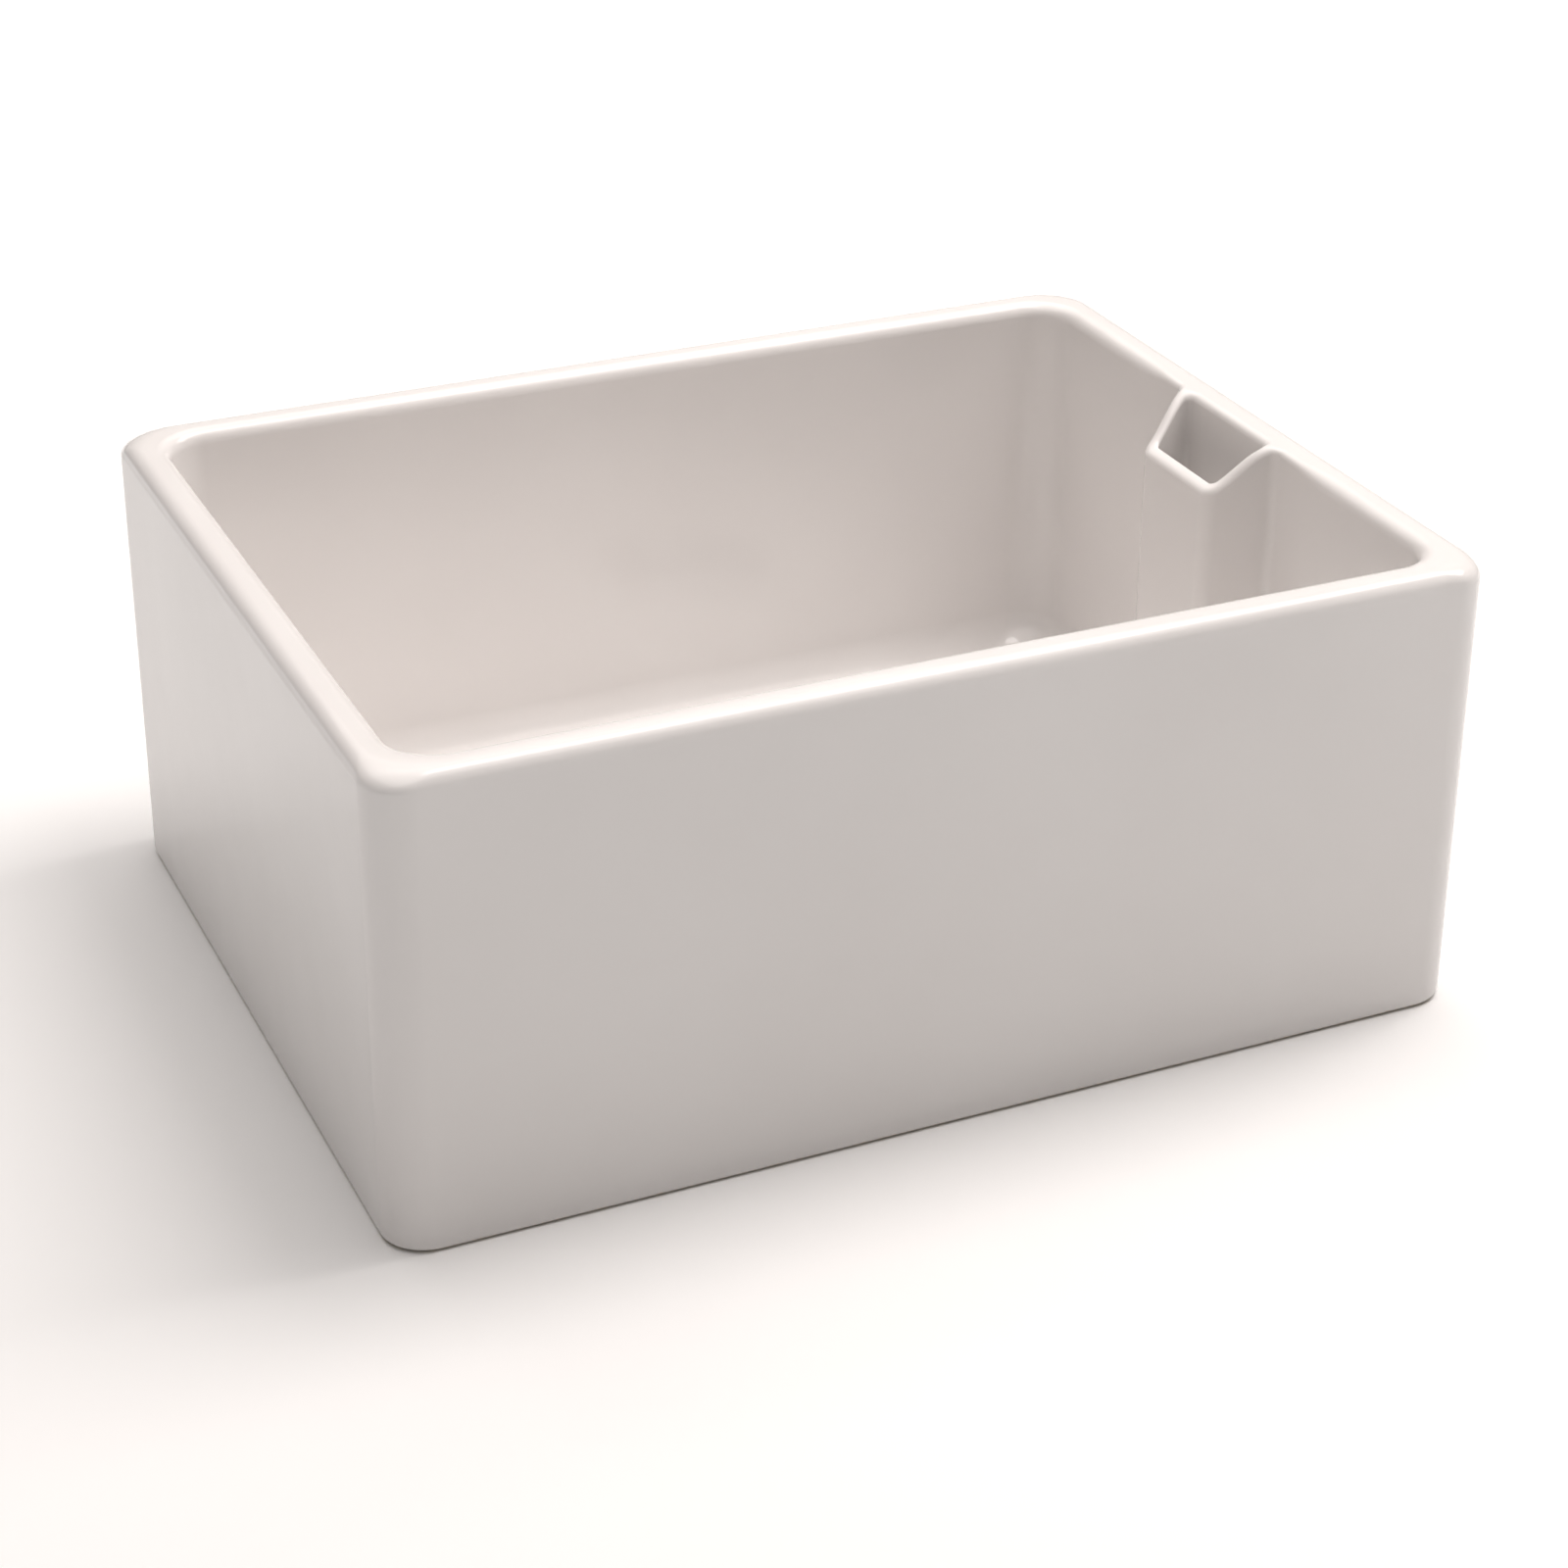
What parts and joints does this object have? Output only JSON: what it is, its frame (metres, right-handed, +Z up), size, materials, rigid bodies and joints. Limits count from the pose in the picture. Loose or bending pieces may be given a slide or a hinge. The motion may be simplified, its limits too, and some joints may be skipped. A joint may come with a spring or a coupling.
{
  "type": "apron front sink",
  "caption": "Deep rectangular white fireclay sink with a plain apron front, a weir overflow box on its right end wall, and a basket strainer waste in its floor.",
  "frame": {"origin": "middle of the flat underside of the fireclay, on which the sink bears; the waste hangs below it", "axes": "+X along the apron to the end wall with the weir box, -Y out of the apron front, +Z up"},
  "size_m": [0.595, 0.455, 0.3383],
  "materials": {
    "fireclay": "thick gloss glaze, warm white",
    "stainless": "pressed and polished",
    "brass": "turned",
    "rubber": "moulded, matt black",
    "foam": "closed-cell sealing ring, grey",
    "white_plastic": "moulded polypropylene, white",
    "nylon": "moulded nylon, natural"
  },
  "bodies": {
    "sink": {"sink_body": "fireclay", "strainer_cup": "stainless", "flange_seal": "foam", "underside_gasket": "rubber", "waste_body": "white_plastic", "threaded_insert": "brass", "clamp_screw": "stainless", "screw_washer": "nylon"},
    "basket": {"basket_cup": "stainless", "basket_bush": "nylon", "bush_snap_ring": "stainless", "post_o_ring": "rubber"},
    "plug": {"plug_post": "stainless", "post_knob": "stainless", "plug_seal": "rubber", "seal_upper_plate": "stainless", "seal_lower_plate": "stainless", "plug_nut": "brass"}
  },
  "joints": [
    {"name": "basket_lift", "type": "slide", "parent": "sink", "child": "basket", "axis": [0, 0, 1], "range_m": [0, 0.31]},
    {"name": "plug_pull", "type": "slide", "parent": "basket", "child": "plug", "axis": [0, 0, 1], "range_m": [0, 0.009]}
  ]
}
